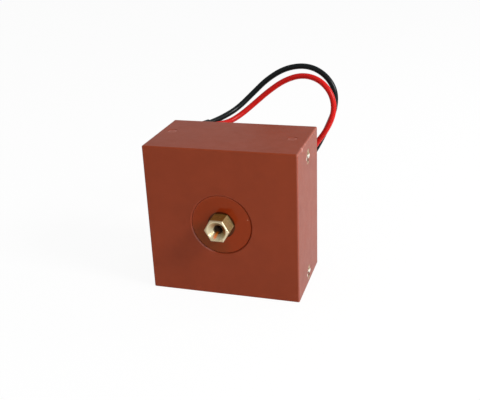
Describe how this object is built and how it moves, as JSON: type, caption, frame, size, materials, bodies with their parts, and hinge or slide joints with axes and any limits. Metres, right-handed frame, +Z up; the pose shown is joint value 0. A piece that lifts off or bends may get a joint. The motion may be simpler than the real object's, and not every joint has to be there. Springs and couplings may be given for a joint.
{
  "type": "current transformer",
  "caption": "Cast resin block current transformer with a fixed brass primary stud through its middle, threaded side inserts and two free secondary leads.",
  "frame": {"origin": "middle of the block's underside, below the middle of the stud", "axes": "+X to the right seen from the front, -Y out of the front face along the stud, +Z up"},
  "size_m": [0.0849, 0.0884, 0.09],
  "materials": {
    "cast_resin": "cast epoxy, satin",
    "bush_resin": "cast epoxy, smooth",
    "stud_brass": "turned",
    "insert_brass": "turned and knurled",
    "core_strip": "edges of wound strip",
    "case_plastic": "moulded",
    "winding_wire": "enamelled and varnished",
    "wrap_tape": "film tape",
    "tinned_copper": "tinned",
    "sleeve_plastic": "satin",
    "black_insulation": "smooth",
    "red_insulation": "smooth"
  },
  "bodies": {
    "root": {"resin_block": "cast_resin", "centre_bush": "bush_resin", "primary_stud": "stud_brass", "insert_right_upper": "insert_brass", "insert_right_lower": "insert_brass", "insert_left_upper": "insert_brass", "insert_left_lower": "insert_brass", "ring_core": "core_strip", "core_case": "case_plastic", "core_case_lid": "case_plastic", "secondary_winding": "winding_wire", "winding_wrap": "wrap_tape", "black_splice": "tinned_copper", "red_splice": "tinned_copper", "black_lead": "black_insulation", "red_lead": "red_insulation", "black_lead_tip": "tinned_copper", "red_lead_tip": "tinned_copper", "lead_sleeve": "sleeve_plastic"}
  },
  "joints": []
}
